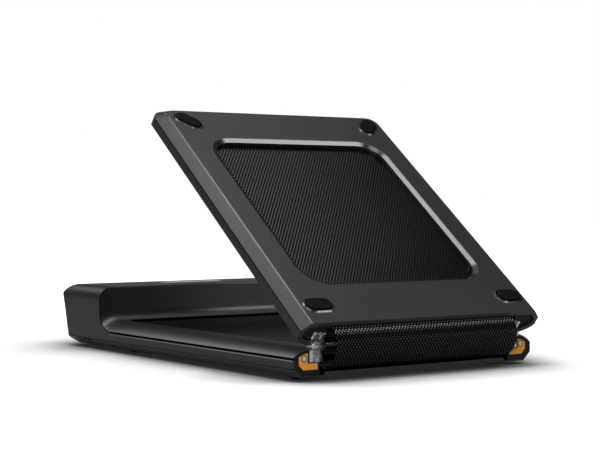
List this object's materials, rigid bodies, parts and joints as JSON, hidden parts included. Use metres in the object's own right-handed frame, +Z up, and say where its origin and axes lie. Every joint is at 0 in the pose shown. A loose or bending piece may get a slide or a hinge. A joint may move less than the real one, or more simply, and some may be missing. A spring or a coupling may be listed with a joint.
{
  "type": "walking pad",
  "caption": "Folding walking pad: a low belt deck hinged across the middle, with a raised motor hood at one end and the rear half swung up over the front half.",
  "frame": {"origin": "centre of the half-folded pad's box, on the floor", "axes": "+X across the belt to the right of someone facing the hood, +Y along the deck towards the hood, +Z up"},
  "size_m": [0.53, 0.8764, 0.4675],
  "materials": {
    "cover_plastic": "fine satin moulding grain",
    "deck_plastic": "fine satin moulding grain",
    "running_belt": "embossed diamond grain",
    "foot_rubber": "soft matt",
    "drive_rubber": "ribbed",
    "frame_paint": "black powder coat",
    "roller_steel": "turned",
    "screw_steel": "zinc plated",
    "hinge_alloy": "die cast",
    "heatsink_alloy": "extruded",
    "deck_wood": "fibreboard with black laminate",
    "plate_orange": "printed plate, bare",
    "circuit_green": "solder mask",
    "display_gloss": "smoked lens",
    "power_plastic": "black",
    "wheel_plastic": "black, moulded"
  },
  "bodies": {
    "front_half": {"front_base_pan": "cover_plastic", "hood_shell": "cover_plastic", "deck_surround": "deck_plastic", "front_end_cap_left": "deck_plastic", "front_end_cap_right": "deck_plastic", "belt_front_run": "running_belt", "belt_fold_wrap": "running_belt", "belt_fold_crease": "running_belt", "front_feet": "foot_rubber", "front_deck_cushions": "foot_rubber", "drive_belt": "drive_rubber", "front_chassis": "frame_paint", "motor_bracket": "frame_paint", "motor_body": "frame_paint", "drive_roller_shaft": "roller_steel", "front_guide_bar": "roller_steel", "wheel_axles": "roller_steel", "hinge_pins": "screw_steel", "end_cap_screws": "screw_steel", "front_hinge_leaf_left": "hinge_alloy", "front_hinge_leaf_right": "hinge_alloy", "controller_heatsink": "heatsink_alloy", "front_deck_board": "deck_wood", "marker_plate_left": "plate_orange", "marker_plate_right": "plate_orange", "controller_board": "circuit_green", "display_board": "circuit_green", "display_lens": "display_gloss", "power_inlet": "power_plastic", "switch_housing": "power_plastic"},
    "rear_half": {"rear_underside_cover": "cover_plastic", "rear_rail_left": "cover_plastic", "rear_rail_right": "cover_plastic", "rear_tail_cover": "cover_plastic", "rear_end_cap_left": "deck_plastic", "rear_end_cap_right": "deck_plastic", "belt_rear_run": "running_belt", "rear_feet": "foot_rubber", "rear_deck_cushions": "foot_rubber", "rear_chassis": "frame_paint", "rear_roller_shaft": "roller_steel", "rear_guide_bar": "roller_steel", "rear_hinge_leaf_left": "hinge_alloy", "rear_hinge_leaf_right": "hinge_alloy", "rear_deck_board": "deck_wood"},
    "drive_roller": {"drive_roller": "roller_steel", "drive_roller_bearings": "roller_steel"},
    "rear_roller": {"rear_roller": "roller_steel", "rear_roller_bearings": "roller_steel"},
    "motor_rotor": {"motor_pulley": "roller_steel"},
    "wheel_left": {"transport_wheel_left": "wheel_plastic"},
    "wheel_right": {"transport_wheel_right": "wheel_plastic"},
    "power_rocker": {"switch_rocker": "power_plastic"},
    "bolt_left": {"tension_bolt_left": "screw_steel"},
    "bolt_right": {"tension_bolt_right": "screw_steel"}
  },
  "joints": [
    {"name": "fold", "type": "hinge", "parent": "front_half", "child": "rear_half", "pos_m": [0, -0.40379, 0.0574], "axis": [-1, 0, 0], "range_deg": [-142.2, 37.8], "deforming": ["belt_fold_wrap", "belt_fold_crease"]},
    {"name": "drive_roller_spin", "type": "hinge", "parent": "front_half", "child": "drive_roller", "pos_m": [0, 0.29621, 0.0369], "axis": [1, 0, 0], "continuous": true},
    {"name": "rear_roller_spin", "type": "hinge", "parent": "rear_half", "child": "rear_roller", "pos_m": [0, 0.04826, 0.43399], "axis": [1, 0, 0], "continuous": true},
    {"name": "motor_spin", "type": "hinge", "parent": "front_half", "child": "motor_rotor", "pos_m": [0, 0.36021, 0.068], "axis": [1, 0, 0], "continuous": true},
    {"name": "wheel_left_spin", "type": "hinge", "parent": "front_half", "child": "wheel_left", "pos_m": [-0.205, 0.39621, 0.019], "axis": [1, 0, 0], "continuous": true},
    {"name": "wheel_right_spin", "type": "hinge", "parent": "front_half", "child": "wheel_right", "pos_m": [0.205, 0.39621, 0.019], "axis": [1, 0, 0], "continuous": true},
    {"name": "power_rocker_tip", "type": "hinge", "parent": "front_half", "child": "power_rocker", "pos_m": [0.196, 0.4246, 0.0594], "axis": [1, 0, 0], "range_deg": [0, 14]},
    {"name": "bolt_left_turn", "type": "hinge", "parent": "rear_half", "child": "bolt_left", "pos_m": [-0.221, 0.07354, 0.4536], "axis": [0, 0.7902, 0.6129], "continuous": true},
    {"name": "bolt_right_turn", "type": "hinge", "parent": "rear_half", "child": "bolt_right", "pos_m": [0.221, 0.07354, 0.4536], "axis": [0, 0.7902, 0.6129], "continuous": true}
  ],
  "couplings": [
    {"joint": "rear_roller_spin", "follows": "drive_roller_spin", "ratio": 1},
    {"joint": "motor_spin", "follows": "drive_roller_spin", "ratio": 2.4}
  ]
}
